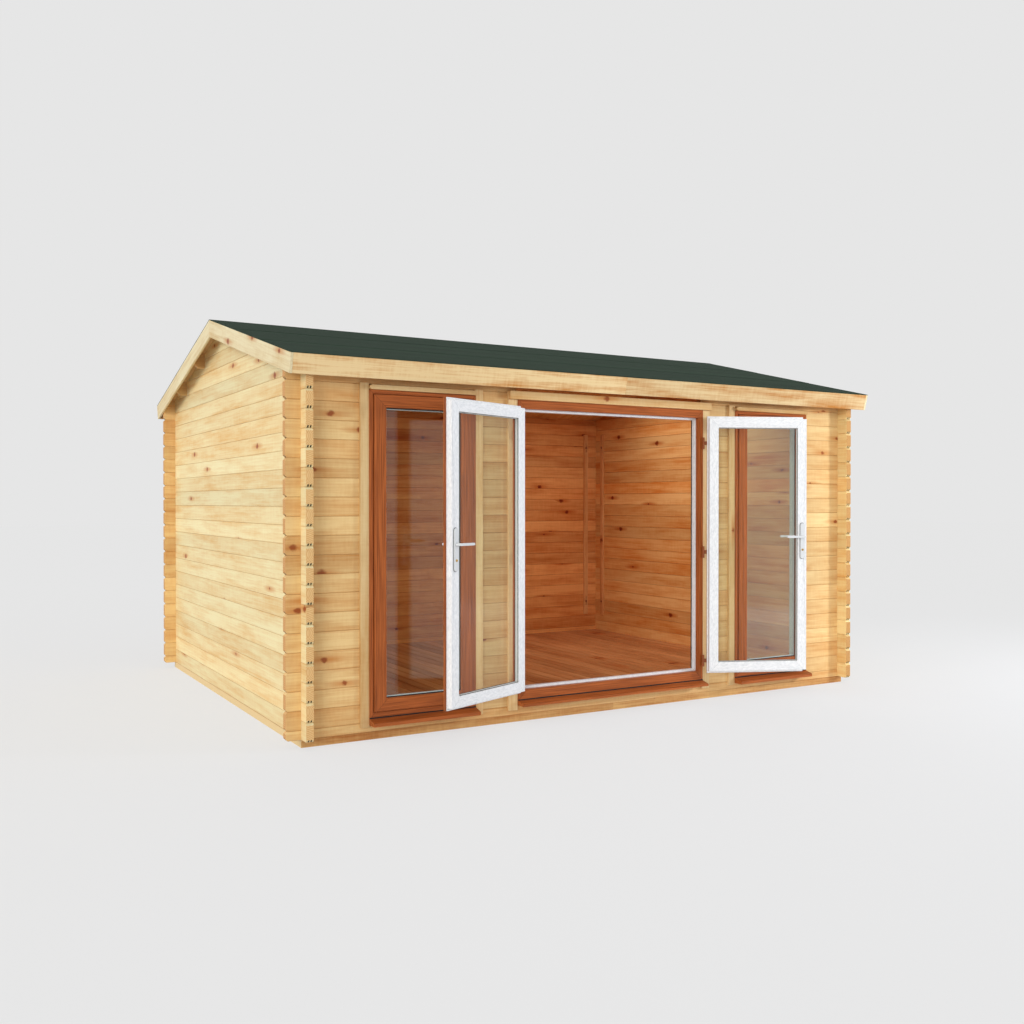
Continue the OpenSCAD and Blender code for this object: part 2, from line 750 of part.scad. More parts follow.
bearers();
floor_joists();
floor();
front_wall_bottom_log();
front_wall_left();
front_wall_mid_left();
front_wall_mid_right();
front_wall_right();
front_wall_top();
back_wall();
left_wall();
right_wall();
left_gable();
right_gable();
purlins();
roof_deck();
roof_felt();
front_fascia();
rear_fascia();
left_bargeboards();
right_bargeboards();
door_frame_outer();
door_frame_inner();
door_sill();
door_trim();
frame_hinges();
left_window_frame();
left_window_inner();
right_window_frame();
right_window_inner();
window_glass();
window_sills();
window_trim();
storm_battens();
left_leaf_outer();
left_leaf_inner();
left_leaf_glass();
left_leaf_hinges();
left_handle_plates();
left_lever();
right_leaf_outer();
right_leaf_inner();
right_leaf_glass();
right_leaf_hinges();
right_handle_plates();
right_lever();
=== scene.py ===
# Looks of the log cabin garden office: timber, foiled frames, glass and felt, with the boards, gaskets,
# spacer bars, seals, lock cylinders and bolts that the construction leaves out. Lengths are in metres.
import json
import math

import bpy
import numpy as np
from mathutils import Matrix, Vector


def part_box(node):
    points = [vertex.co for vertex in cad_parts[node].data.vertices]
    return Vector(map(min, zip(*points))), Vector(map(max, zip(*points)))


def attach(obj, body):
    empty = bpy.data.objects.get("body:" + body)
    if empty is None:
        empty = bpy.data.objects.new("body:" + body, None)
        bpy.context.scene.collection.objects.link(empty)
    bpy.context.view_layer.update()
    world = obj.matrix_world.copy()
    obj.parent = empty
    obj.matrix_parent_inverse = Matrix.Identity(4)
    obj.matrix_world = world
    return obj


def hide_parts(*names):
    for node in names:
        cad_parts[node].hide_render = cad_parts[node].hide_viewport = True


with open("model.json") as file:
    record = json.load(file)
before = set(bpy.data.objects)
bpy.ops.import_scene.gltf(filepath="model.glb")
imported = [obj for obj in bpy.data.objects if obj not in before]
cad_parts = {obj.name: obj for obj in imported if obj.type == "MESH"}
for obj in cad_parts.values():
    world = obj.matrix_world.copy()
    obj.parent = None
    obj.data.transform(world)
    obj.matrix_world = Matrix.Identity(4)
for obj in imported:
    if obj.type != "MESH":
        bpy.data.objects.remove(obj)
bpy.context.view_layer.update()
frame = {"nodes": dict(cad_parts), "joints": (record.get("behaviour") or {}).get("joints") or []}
nodes = frame["nodes"]
hinge = {j["name"]: j for j in frame["joints"]}

PITCH = math.radians(14)
LOG_COURSE = 0.110
FRONT_SEAM = 0.100
SIDE_SEAM = 0.045
FLOOR_BOARD = 0.094
ROOF_BOARD = 0.088
SHEET_LAP = 0.62
# Half the room's width and depth, just past the inner faces of the walls
ROOM = (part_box("floor")[1].x + 0.006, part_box("floor")[1].y + 0.006)
# Painted shade of the room: what the timber inside keeps of its red, green and blue, once its tone has been
# deepened
ROOM_SHADE_TINT = (1.03, 0.82, 0.92)
# Figure of planed pine: cycles to the metre along, across and into the board, and the noise's detail. Clouds
# are about 60 mm tall, streaks 10 mm and fibres 3 mm, which is as coarse as fibres need to be to show.
DRIFT = ((0.9, 6.0, 6.0), 1.0)
CLOUDS = ((2.4, 17.0, 17.0), 3.0)
STREAKS = ((1.3, 95.0, 80.0), 2.0)
FIBRES = ((6.0, 320.0, 320.0), 2.0)
FLAMES = ((60.0, 9.0, 9.0), 2.0)
# Knots: stretches to the metre along and across a board, each with one chance of a knot; the least and
# greatest radius of a knot, and how far its outline wanders
KNOT_CELLS = (1.7, 9.1)
KNOT_SIZE = (0.009, 0.028)
KNOT_EDGE = 0.03
# One over the reach of the sap round a knot: 140 mm along the board and 33 mm across
SAP_REACH = (7.0, 30.0, 0.0)
# Tones of sap, knots, the darker brown line at a joint, and the painted shade inside a joint
SAP_TONE, KNOT_TONE, JOINT_LINE_TONE, JOINT_SHADE_TONE = "CC7F38", "96431A", "B47A3C", "2A1A0E"
# Posts this far apart have tones of their own
POST_BAY = 0.43
# Rings of a cut end to the metre, and how far its heart lies across and into the board
RINGS, HEART = 210.0, (0.11, 0.05)
# Half the width of the darker brown line at a joint and of the dark line at a mitre: where it is full, and
# where it ends
JOINT_LINE = (0.0005, 0.0035)
MITRE_LINE = (0.0006, 0.0022)
# A hair's breadth between faces that would lie in one place
HAIR = 0.0002


# Shading

def srgb(code):
    """A colour for a shader from its sRGB hex code."""
    c = np.array([int(code[i:i + 2], 16) for i in (0, 2, 4)]) / 255
    return (*np.where(c <= 0.04045, c / 12.92, ((c + 0.055) / 1.055) ** 2.4), 1.0)


def add(tree, kind, inputs=None, **settings):
    """Adds one shader node. An input is a plain value or another node's output."""
    made = tree.nodes.new("ShaderNode" + kind)
    for key, value in settings.items():
        setattr(made, key, value)
    for key, value in (inputs or {}).items():
        if isinstance(value, bpy.types.NodeSocket):
            tree.links.new(value, made.inputs[key])
        else:
            made.inputs[key].default_value = value
    return made.outputs


def blank(name):
    """An empty material and its node tree."""
    material = bpy.data.materials.new(name)
    material.use_nodes = True
    material.node_tree.nodes.clear()
    return material, material.node_tree


def surface(tree, shader):
    """Joins a shader to the material's output."""
    out = tree.nodes.new("ShaderNodeOutputMaterial")
    tree.links.new(shader, out.inputs["Surface"])


def pine(name, grain, light, dark, board=None, slope=False, cross_y=None, knots=0.13, rough=0.55,
         room=False, cut=("DCA96C", "BE8246"), joint_at=None, seam=0.5, right_deeper=0.0, figure=1.0):
    """Planed pine. Every board has its own tone, with honey clouds, streaks and fine fibres along it, and
    here and there a red-brown knot in a streak of sap. Cut ends show the rings as arcs.
    grain is the axis that the boards run along; board is (axis, start, width) of boards laid side by side;
    slope follows the roof; boards further out than cross_y lie across, painted a little deeper in tone as
    shade under the eaves; knots is the chance of a knot; room paints the faces inside the cabin a deeper,
    redder honey as painted shade of the room; cut is the two tones of the ends; joint_at is (axis, low, high)
    of the hidden tongues and grooves, whose faces along the grain are painted near black as shade; seam is
    how strong the darker brown line along the joints is; right_deeper is how much deeper in tone the
    right-hand board of a pair is; figure is how strong the streaks are."""
    material, t = blank(name)
    place = add(t, "TexCoord")
    axes = add(t, "SeparateXYZ", {0: place["Object"]})
    facing = add(t, "SeparateXYZ", {0: place["Normal"]})
    seed = add(t, "Math", {0: add(t, "ObjectInfo")["Random"], 1: 40.0}, operation="MULTIPLY")[0]
    along, across, deep = (axes[k] for k in ((0, 2, 1), (1, 2, 0), (2, 0, 1))[grain])
    if slope:
        side = add(t, "Math", {0: axes[1]}, operation="ABSOLUTE")[0]
        folded = add(t, "CombineXYZ", {0: side, 1: axes[2]})[0]
        down = (math.cos(PITCH), -math.sin(PITCH), 0)
        out = (math.sin(PITCH), math.cos(PITCH), 0)
        along = add(t, "VectorMath", {0: folded, 1: down}, operation="DOT_PRODUCT")["Value"]
        across = add(t, "VectorMath", {0: folded, 1: out}, operation="DOT_PRODUCT")["Value"]
    if cross_y is not None:
        proud = add(t, "Math", {0: axes[1], 1: cross_y}, operation="LESS_THAN")[0]
        along, across = (add(t, "Mix", {0: proud, 2: a, 3: b}, data_type="FLOAT")[0]
                         for a, b in ((along, axes[0]), (across, axes[2])))
    # Number of the board, and random values for it
    if board:
        from_start = add(t, "Math", {0: axes[board[0]], 1: board[1]}, operation="SUBTRACT")[0]
        number = add(t, "Math", {0: add(t, "Math", {0: from_start, 1: board[2]}, operation="DIVIDE")[0]},
                     operation="FLOOR")[0]
    elif grain == 0 or slope:
        number = add(t, "Math", {0: axes[0 if grain == 0 else 1]}, operation="SIGN")[0]
    else:
        bays = [add(t, "Math", {0: add(t, "Math", {0: axes[k], 1: POST_BAY}, operation="DIVIDE")[0]},
                    operation="FLOOR")[0] for k in (0, 1)]
        number = add(t, "Math", {0: bays[0], 1: 7.0, 2: bays[1]}, operation="MULTIPLY_ADD")[0]
    if cross_y is not None:
        number = add(t, "Mix", {0: proud, 2: number, 3: 40.0}, data_type="FLOAT")[0]
    pick = add(t, "TexWhiteNoise", {"Vector": add(t, "CombineXYZ", {0: number, 1: seed})[0]},
               noise_dimensions="2D")
    chance = add(t, "SeparateColor", {0: pick["Color"]})
    shift = add(t, "Math", {0: pick["Value"], 1: 9.0}, operation="MULTIPLY")[0]
    run = add(t, "Math", {0: along, 1: shift}, operation="ADD")[0]
    lift = add(t, "Math", {0: across, 1: shift}, operation="ADD")[0]
    # Knots: one chance for each stretch of board; how far away the nearest one is, in metres
    at = add(t, "CombineXYZ", {0: run, 1: lift, 2: deep})[0]
    cells = add(t, "VectorMath", {0: at, 1: (*KNOT_CELLS, 1.0)}, operation="MULTIPLY")[0]
    spot = add(t, "TexVoronoi", {"Vector": cells, "Scale": 1.0, "Randomness": 0.9}, voronoi_dimensions="2D")
    apart = add(t, "VectorMath", {0: cells, 1: spot["Position"]}, operation="SUBTRACT")[0]
    apart = add(t, "VectorMath", {0: apart, 1: (1 / KNOT_CELLS[0], 1.25 / KNOT_CELLS[1], 0)},
                operation="MULTIPLY")[0]
    wander = add(t, "TexNoise", {"Vector": at, "Scale": 45.0, "Detail": 2.0})[0]
    reach = add(t, "VectorMath", {0: apart}, operation="LENGTH")["Value"]
    reach = add(t, "Math", {0: reach, 1: KNOT_EDGE / 2}, operation="SUBTRACT")[0]
    reach = add(t, "Math", {0: wander, 1: KNOT_EDGE, 2: reach}, operation="MULTIPLY_ADD")[0]
    drawn = add(t, "SeparateColor", {0: spot["Color"]})
    there = add(t, "Math", {0: drawn[0], 1: knots}, operation="LESS_THAN")[0]
    size = add(t, "MapRange", {0: drawn[1], 3: KNOT_SIZE[0], 4: KNOT_SIZE[1]})[0]
    near = add(t, "Math", {0: reach, 1: size}, operation="DIVIDE")[0]
    core = add(t, "MapRange", {0: near, 1: 0.6, 2: 1.2, 3: 0.85, 4: 0.0})[0]
    core = add(t, "Math", {0: core, 1: there}, operation="MULTIPLY")[0]
    stretched = add(t, "VectorMath", {0: apart, 1: SAP_REACH}, operation="MULTIPLY")[0]
    sap = add(t, "VectorMath", {0: stretched}, operation="LENGTH")["Value"]
    sap = add(t, "MapRange", {0: sap, 1: 0.1, 2: 1.0, 3: 1.0, 4: 0.0})[0]
    sap = add(t, "Math", {0: sap, 1: there}, operation="MULTIPLY")[0]
    # Drift of tone, honey clouds, streaks, fibres and marks across the grain, summed into a depth of tone.
    # The sum lies round 0.83, and a strong figure takes a narrow range of it.
    drift, clouds, streaks, fibres, flames = (
        add(t, "TexNoise", {"Vector": add(t, "VectorMath", {0: at, 1: cycles}, operation="MULTIPLY")[0],
                            "Scale": 1.0, "Detail": detail, "Roughness": 0.6})[0]
        for cycles, detail in (DRIFT, CLOUDS, STREAKS, FIBRES, FLAMES))
    depth = add(t, "MapRange", {0: clouds, 1: 0.42, 2: 0.78, 3: 0.0, 4: 0.3})[0]
    for part, share in ((drift, 0.5), (streaks, 0.44), (fibres, 0.3), (flames, 0.18), (chance[1], 0.18)):
        depth = add(t, "Math", {0: part, 1: share, 2: depth}, operation="MULTIPLY_ADD")[0]
    if right_deeper:
        right = add(t, "Math", {0: number, 1: 0.0}, operation="MAXIMUM")[0]
        depth = add(t, "Math", {0: right, 1: right_deeper, 2: depth}, operation="MULTIPLY_ADD")[0]
    # Painted shade: the proud head boards are a little deeper in tone, standing in for the shade under the
    # eaves
    if cross_y is not None:
        depth = add(t, "Math", {0: proud, 1: 0.2, 2: depth}, operation="MULTIPLY_ADD")[0]
    depth = add(t, "MapRange", {0: depth, 1: 0.83 - 0.15 / figure, 2: 0.83 + 0.49 / figure})[0]
    colour = add(t, "Mix", {0: depth, 6: srgb(light), 7: srgb(dark)}, data_type="RGBA")[2]
    colour = add(t, "Mix", {0: add(t, "Math", {0: sap, 1: 0.75}, operation="MULTIPLY")[0], 6: colour,
                            7: srgb(SAP_TONE)}, data_type="RGBA")[2]
    colour = add(t, "Mix", {0: core, 6: colour, 7: srgb(KNOT_TONE)}, data_type="RGBA")[2]
    tone = add(t, "MapRange", {0: chance[0], 3: 0.88, 4: 1.04})[0]
    colour = add(t, "VectorMath", {0: colour, "Scale": tone}, operation="SCALE")[0]
    if board:
        # A darker brown line along the joint between two boards
        off = add(t, "Math", {0: from_start, 1: board[2] / 2}, operation="PINGPONG")[0]
        joint = add(t, "MapRange", {0: off, 1: JOINT_LINE[0], 2: JOINT_LINE[1], 3: seam, 4: 0.0})[0]
        colour = add(t, "Mix", {0: joint, 6: colour, 7: srgb(JOINT_LINE_TONE)}, data_type="RGBA")[2]
    if room:
        # Painted shade: faces inside the cabin, deeper and redder, standing in for the dim warm light of the
        # room
        reach_in = add(t, "VectorMath", {0: place["Object"]}, operation="ABSOLUTE")[0]
        reach_in = add(t, "SeparateXYZ", {0: reach_in})
        inside = [add(t, "Math", {0: reach_in[k], 1: ROOM[k]}, operation="LESS_THAN")[0] for k in (0, 1)]
        inside = add(t, "Math", {0: inside[0], 1: inside[1]}, operation="MULTIPLY")[0]
        deeper = add(t, "Gamma", {0: colour, 1: 1.5})[0]
        room_shade = add(t, "VectorMath", {0: deeper, 1: ROOM_SHADE_TINT}, operation="MULTIPLY")[0]
        colour = add(t, "Mix", {0: inside, 6: colour, 7: room_shade}, data_type="RGBA")[2]
    # Cut ends: arcs round a heart below the board
    if not slope:
        end_on = add(t, "Math", {0: add(t, "Math", {0: facing[grain]}, operation="ABSOLUTE")[0], 1: 0.9},
                     operation="GREATER_THAN")[0]
        hub = add(t, "CombineXYZ", {0: add(t, "Math", {0: across, 1: HEART[0]}, operation="PINGPONG")[0],
                                    1: add(t, "Math", {0: deep, 1: HEART[1]}, operation="PINGPONG")[0]})[0]
        arcs = add(t, "VectorMath", {0: hub}, operation="LENGTH")["Value"]
        arcs = add(t, "Math", {0: add(t, "Math", {0: arcs, 1: RINGS}, operation="MULTIPLY")[0], 1: 1.0},
                   operation="PINGPONG")[0]
        sawn = add(t, "Mix", {0: arcs, 6: srgb(cut[0]), 7: srgb(cut[1])}, data_type="RGBA")[2]
        colour = add(t, "Mix", {0: end_on, 6: colour, 7: sawn}, data_type="RGBA")[2]
    if joint_at:
        # Painted shade inside the joints between logs: faces that run along the grain, painted near black
        side_on = add(t, "Math", {0: add(t, "Math", {0: facing[grain]}, operation="ABSOLUTE")[0], 1: 0.3},
                      operation="LESS_THAN")[0]
        in_wall = add(t, "Math", {0: add(t, "Math", {0: axes[joint_at[0]]}, operation="ABSOLUTE")[0],
                                  1: (joint_at[1] + joint_at[2]) / 2, 2: (joint_at[2] - joint_at[1]) / 2},
                      operation="COMPARE")[0]
        hidden = add(t, "Math", {0: side_on, 1: in_wall}, operation="MULTIPLY")[0]
        colour = add(t, "Mix", {0: hidden, 6: colour, 7: srgb(JOINT_SHADE_TONE)}, data_type="RGBA")[2]
    bump = add(t, "Bump", {"Strength": 0.35, "Distance": 0.0006, "Height": fibres})[0]
    surface(t, add(t, "BsdfPrincipled", {"Base Color": colour, "Roughness": rough, "Normal": bump,
                                         "Specular IOR Level": 0.35})[0])
    return material


def foil(name, light, dark, rect=None, pivot=None, turn=0.0, streak=0.85, mitre=0.45, cycles=(3.0, 150.0)):
    """Wood-grained foil on plastic: streaks run up the stiles and along the rails, which meet in mitres with
    a fine dark line, as dark as the share mitre. rect is (x0, x1, z0, z1) of the frame; streak is how strong
    the streaks are; cycles is how many there are to the metre along and across (a plain streak is 330 mm long
    and 7 mm wide); a leaf's own pivot and turn carry the pattern."""
    material, t = blank(name)
    at = add(t, "TexCoord")["Object"]
    if pivot is not None:
        at = add(t, "Mapping", {0: at, 1: pivot, 2: (0, 0, turn)}, vector_type="TEXTURE")[0]
    axes = add(t, "SeparateXYZ", {0: at})
    along, across = axes[0], axes[2]
    seam = None
    if rect:
        gaps = []
        for axis, low, high in ((0, rect[0], rect[1]), (2, rect[2], rect[3])):
            off = add(t, "Math", {0: axes[axis], 1: (low + high) / 2}, operation="SUBTRACT")[0]
            gaps.append(add(t, "Math", {0: (high - low) / 2,
                                        1: add(t, "Math", {0: off}, operation="ABSOLUTE")[0]},
                            operation="SUBTRACT")[0])
        split = add(t, "Math", {0: gaps[0], 1: gaps[1]}, operation="SUBTRACT")[0]
        stile = add(t, "Math", {0: split, 1: 0.0}, operation="LESS_THAN")[0]
        along = add(t, "Mix", {0: stile, 2: axes[0], 3: axes[2]}, data_type="FLOAT")[0]
        across = add(t, "Mix", {0: stile, 2: axes[2], 3: axes[0]}, data_type="FLOAT")[0]
        seam = add(t, "Math", {0: split}, operation="ABSOLUTE")[0]
        seam = add(t, "MapRange", {0: seam, 1: MITRE_LINE[0], 2: MITRE_LINE[1], 3: 1.0, 4: 0.0})[0]
    streaks = add(t, "TexNoise", {"Vector": add(t, "CombineXYZ", {
        0: add(t, "Math", {0: along, 1: cycles[0]}, operation="MULTIPLY")[0],
        1: add(t, "Math", {0: across, 1: cycles[1]}, operation="MULTIPLY")[0],
        2: add(t, "Math", {0: axes[1], 1: cycles[1]}, operation="MULTIPLY")[0]})[0],
        "Scale": 1.0, "Detail": 3.0, "Roughness": 0.6, "Distortion": 0.3})[0]
    amount = add(t, "MapRange", {0: streaks, 1: 0.35, 2: 0.72, 3: 0.0, 4: streak})[0]
    colour = add(t, "Mix", {0: amount, 6: srgb(light), 7: srgb(dark)}, data_type="RGBA")[2]
    if seam is not None:
        shade = add(t, "MapRange", {0: seam, 3: 1.0, 4: mitre})[0]
        colour = add(t, "VectorMath", {0: colour, "Scale": shade}, operation="SCALE")[0]
    bump = add(t, "Bump", {"Strength": 0.3, "Distance": 0.0005, "Height": streaks})[0]
    surface(t, add(t, "BsdfPrincipled", {"Base Color": colour, "Roughness": 0.4, "Normal": bump,
                                         "Specular IOR Level": 0.25})[0])
    return material


def plain(name, light, dark, rough, metallic=0.0):
    """A finish with a faint mottle, 2.5 mm across, between two close tones: paint, rubber or metal."""
    material, t = blank(name)
    mottle = add(t, "TexNoise", {"Vector": add(t, "TexCoord")["Object"], "Scale": 400.0, "Detail": 2.0})[0]
    colour = add(t, "Mix", {0: mottle, 6: srgb(light), 7: srgb(dark)}, data_type="RGBA")[2]
    bump = add(t, "Bump", {"Strength": 0.1, "Distance": 0.0004, "Height": mottle})[0]
    surface(t, add(t, "BsdfPrincipled", {"Base Color": colour, "Roughness": rough, "Metallic": metallic,
                                         "Normal": bump})[0])
    return material


def mineral_felt(name):
    """Green mineral felt: dark slate-green grit, drawn into faint bands along the sheets. The grit is 2.4 mm
    across, coarser than real so that it shows; the bands are 110 mm wide and 2 m long."""
    material, t = blank(name)
    at = add(t, "TexCoord")["Object"]
    grit = add(t, "TexNoise", {"Vector": at, "Scale": 420.0, "Detail": 2.0, "Roughness": 0.7})[0]
    bands = add(t, "TexNoise", {"Vector": add(t, "Mapping", {0: at, 3: (0.5, 9.0, 9.0)})[0], "Scale": 1.0,
                                "Detail": 3.0})[0]
    mixed = add(t, "Math", {0: grit, 1: 0.6, 2: add(t, "Math", {0: bands, 1: 0.5}, operation="MULTIPLY")[0]},
                operation="MULTIPLY_ADD")[0]
    colour = add(t, "Mix", {0: add(t, "MapRange", {0: mixed, 1: 0.3, 2: 0.8})[0], 6: srgb("15261A"),
                            7: srgb("2B402F")}, data_type="RGBA")[2]
    bump = add(t, "Bump", {"Strength": 0.6, "Distance": 0.0012, "Height": grit})[0]
    surface(t, add(t, "BsdfPrincipled", {"Base Color": colour, "Roughness": 0.9, "Normal": bump,
                                         "Specular IOR Level": 0.2})[0])
    return material


def looked_at(tree):
    """1 for a ray that the camera sees, straight or by way of glass and metal; 0 for light on the cabin."""
    path = add(tree, "LightPath")
    either = add(tree, "Math", {0: path["Is Camera Ray"], 1: path["Is Glossy Ray"]}, operation="MAXIMUM")[0]
    return add(tree, "Math", {0: either, 1: path["Is Transmission Ray"]}, operation="MAXIMUM")[0]


def studio_floor(name):
    """Pale studio floor: an even light grey to the eye, that still takes the cabin's soft shadow."""
    material, t = blank(name)
    mottle = add(t, "TexNoise", {"Vector": add(t, "TexCoord")["Object"], "Scale": 3.0, "Detail": 2.0})[0]
    colour = add(t, "Mix", {0: mottle, 6: srgb("E8E8E8"), 7: srgb("E6E6E6")}, data_type="RGBA")[2]
    paint = add(t, "BsdfDiffuse", {"Color": colour})[0]
    even = add(t, "Emission", {"Color": srgb("F1F1F1"), "Strength": 1.0})[0]
    share = add(t, "Math", {0: looked_at(t), 1: 0.7}, operation="MULTIPLY")[0]
    surface(t, add(t, "MixShader", {0: share, 1: paint, 2: even})[0])
    return material


def clear_glazing(name, least, most, veil=("FEFEFC", "FAFCF9")):
    """Clear double glazing: sees straight through with a faint green veil, and mirrors more at a slant, from
    the least share to the most. veil is the two tones of the pane."""
    material, t = blank(name)
    haze = add(t, "TexNoise", {"Vector": add(t, "TexCoord")["Object"], "Scale": 2.0, "Detail": 1.0})[0]
    tint = add(t, "Mix", {0: haze, 6: srgb(veil[0]), 7: srgb(veil[1])}, data_type="RGBA")[2]
    slant = add(t, "Math", {0: add(t, "LayerWeight", {"Blend": 0.5})["Facing"], 1: 2.0}, operation="POWER")[0]
    mirror = add(t, "MapRange", {0: slant, 3: least, 4: most})[0]
    see = add(t, "BsdfTransparent", {"Color": tint})[0]
    gloss = add(t, "BsdfGlossy", {"Color": (1, 1, 1, 1), "Roughness": 0.02})[0]
    surface(t, add(t, "MixShader", {0: mirror, 1: see, 2: gloss})[0])
    return material


# Shapes

def piece(name, points, faces, material, body, slot):
    """A new mesh piece at the origin, riding on a body and taking the given material; slot is not used."""
    mesh = bpy.data.meshes.new(name)
    mesh.from_pydata(np.asarray(points).tolist(), [], [list(map(int, f)) for f in faces])
    mesh.update()
    obj = bpy.data.objects.new(name, mesh)
    bpy.context.scene.collection.objects.link(obj)
    mesh.materials.append(material)
    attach(obj, body)
    return obj


def soften(obj, width):
    """Breaks the sharp edges of a piece by a small round."""
    weld = obj.modifiers.new("join", "WELD")
    weld.merge_threshold = 0.00002
    edge = obj.modifiers.new("round", "BEVEL")
    edge.width = width
    edge.segments = 2
    edge.limit_method = "ANGLE"
    edge.angle_limit = math.radians(40)


def prism(outline, ends):
    """Points and faces of a prism: an outline of n corners at the first end and again at the second, one
    four-cornered face along each side of the outline, and a cap at each end."""
    n = len(outline)
    points = np.concatenate([ends(outline, 0), ends(outline, 1)])
    i = np.arange(n)
    j = (i + 1) % n
    sides = np.stack([i, j, j + n, i + n], 1).tolist()
    return points, sides + [list(range(n))[::-1], list(range(n, 2 * n))]


def join(parts):
    """Several lots of points and faces as one, each lot's faces counted on from the lots before it."""
    points, faces, base = [], [], 0
    for p, f in parts:
        points.append(p)
        faces += [[k + base for k in face] for face in f]
        base += len(p)
    return np.concatenate(points), faces


def mitred(rect, section):
    """A mitred frame inside a rectangle (x0, x1, z0, z1). section is a closed outline of (inset, y) corners:
    a corner of the frame lies inset in from both sides of the rectangle, and one face spans each pair of
    corners."""
    s = np.asarray(section, float)
    x0, x1, z0, z1 = rect
    spots = [(x0, 1, z0, 1), (x1, -1, z0, 1), (x1, -1, z1, -1), (x0, 1, z1, -1)]
    points = np.concatenate([np.stack([x + sx * s[:, 0], s[:, 1], z + sz * s[:, 0]], 1)
                             for x, sx, z, sz in spots])
    n = len(s)
    k, i = np.meshgrid(np.arange(4), np.arange(n), indexing="ij")
    k2, i2 = (k + 1) % 4, (i + 1) % n
    faces = np.stack([k * n + i, k2 * n + i, k2 * n + i2, k * n + i2], -1).reshape(-1, 4).tolist()
    return points, faces


def swung(points, name, back=False):
    """Points turned with a door leaf about its hinge, from shut to the rest pose, or back again."""
    joint = hinge[name]
    turn = math.radians(-joint["range_deg"][0]) * joint["axis"][2] * (-1 if back else 1)
    c, s = math.cos(turn), math.sin(turn)
    pin = np.array(joint["pos_m"]) * (1, 1, 0)
    return (np.asarray(points) - pin) @ np.array([[c, s, 0], [-s, c, 0], [0, 0, 1]]) + pin


def corners(node):
    """All corner points of a construction node."""
    mesh = nodes[node].data
    flat = np.empty(len(mesh.vertices) * 3)
    mesh.vertices.foreach_get("co", flat)
    return flat.reshape(-1, 3)


def shut_box(node, name):
    """Lowest and highest corner of a leaf's node with the door shut."""
    points = swung(corners(node), name, back=True)
    return points.min(0), points.max(0)


def stud(at, along, radius, height, sides):
    """A short round stud: it stands on its place, rises along the given axis (1, 2 or 3, with the sign of the
    way) and narrows by a quarter."""
    a = np.arange(sides) * 2 * math.pi / sides
    u, v = [k for k in range(3) if k != abs(along) - 1]
    ring = np.zeros((sides, 3))
    ring[:, u], ring[:, v] = radius * np.cos(a), radius * np.sin(a)
    lift = np.zeros(3)
    lift[abs(along) - 1] = math.copysign(height, along)
    return prism(ring, lambda o, e: o * (1 - 0.25 * e) + np.asarray(at) + lift * e)


# Materials

# Boards further out than this are the head boards over the openings, painted a little deeper in tone as shade
# under the eaves
HEAD_FRONT = -1.6785
# Logs: their courses, and where their tongues and grooves lie in the thickness of the wall, which are painted
# dark as shade
FRONT_LOGS = {"board": (2, FRONT_SEAM, LOG_COURSE), "room": True, "joint_at": (1, 1.624, 1.652), "seam": 0.35}
SIDE_LOGS = {"board": (2, SIDE_SEAM, LOG_COURSE), "room": True, "joint_at": (0, 2.124, 2.152), "seam": 0.3}
front_pine = pine("front_pine_logs", 0, "F6D394", "D08A40", knots=0.32, **FRONT_LOGS)
back_pine = pine("back_pine_logs", 0, "F6D394", "D08A40", knots=0.19, **FRONT_LOGS)
# Painted light: the left wall's logs are a paler copy of the log pine, standing in for the light and sheen on
# that side
left_pine_painted_light = pine("left_pine_logs_painted_light", 1, "F4E6B4", "DEA552", cut=("EEC88E", "D4A05E"), **SIDE_LOGS)
# Painted shade: the right wall's logs are a deeper copy of the side pine, with much deeper cut ends
right_pine_painted_shade = pine("right_pine_logs_painted_shade", 1, "F7E0A2", "DE9A40", cut=("D6A668", "B47C40"), **SIDE_LOGS)
trim_pine = pine("pine_trim_boards", 2, "F5D8A0", "D29A54", cross_y=HEAD_FRONT, knots=0.1, room=True)
fascia_pine = pine("honey_fascia_boards", 0, "EED09A", "C67E30", right_deeper=0.08, figure=1.8)
barge_pine = pine("honey_bargeboards", 1, "F3E4BA", "D6B478", slope=True, figure=1.4)
floor_pine = pine("pine_floor_boards", 1, "E8C692", "B47C48", board=(0, 0.0, FLOOR_BOARD), rough=0.42,
                  room=True)
roof_pine = pine("pine_roof_boards", 1, "E8C083", "BE8044", board=(0, 0.0, ROOF_BOARD))
purlin_pine = pine("pine_purlins", 0, "E8C083", "BE8044")
base_pine = pine("treated_pine_bearers", 0, "E4B674", "B0682A", cut=("EAD2A0", "DDBC84"), figure=1.5)
felt = mineral_felt("green_mineral_felt")
window_glazing = clear_glazing("window_double_glazing", 0.028, 0.6, veil=("F7FEFC", "F3FCF9"))
door_glazing = clear_glazing("door_double_glazing", 0.01, 0.14)
# Satin paint on cast hinges and bolts: warm brown, with soft highlights
brown_paint = plain("brown_hinge_paint", "A05A30", "844622", rough=0.45)
# Smooth white paint on the handles: clean, with broad highlights
white_paint = plain("white_handle_paint", "E2E4E4", "D4D6D6", rough=0.3)
# Extruded rubber, black round the glass and grey under the handle plates: matt from every side. The grey rim
# round a plate is partly a real gasket and partly painted shade of the plate's edge
rubber = plain("black_glazing_rubber", "16161A", "222224", rough=0.7)
grey_gasket_and_shade = plain("grey_plate_gasket_and_shade", "686A6C", "5A5C5E", rough=0.7)
# Coated aluminium spacer bar: a pale line at the edge of the glass
spacer_metal = plain("pale_spacer_bar", "E4E6E6", "D4D6D8", rough=0.45)
# Turned brass: a bright yellow dot in the handle plate
brass = plain("brass_lock_cylinder", "D9B46A", "B98F45", rough=0.3, metallic=1.0)

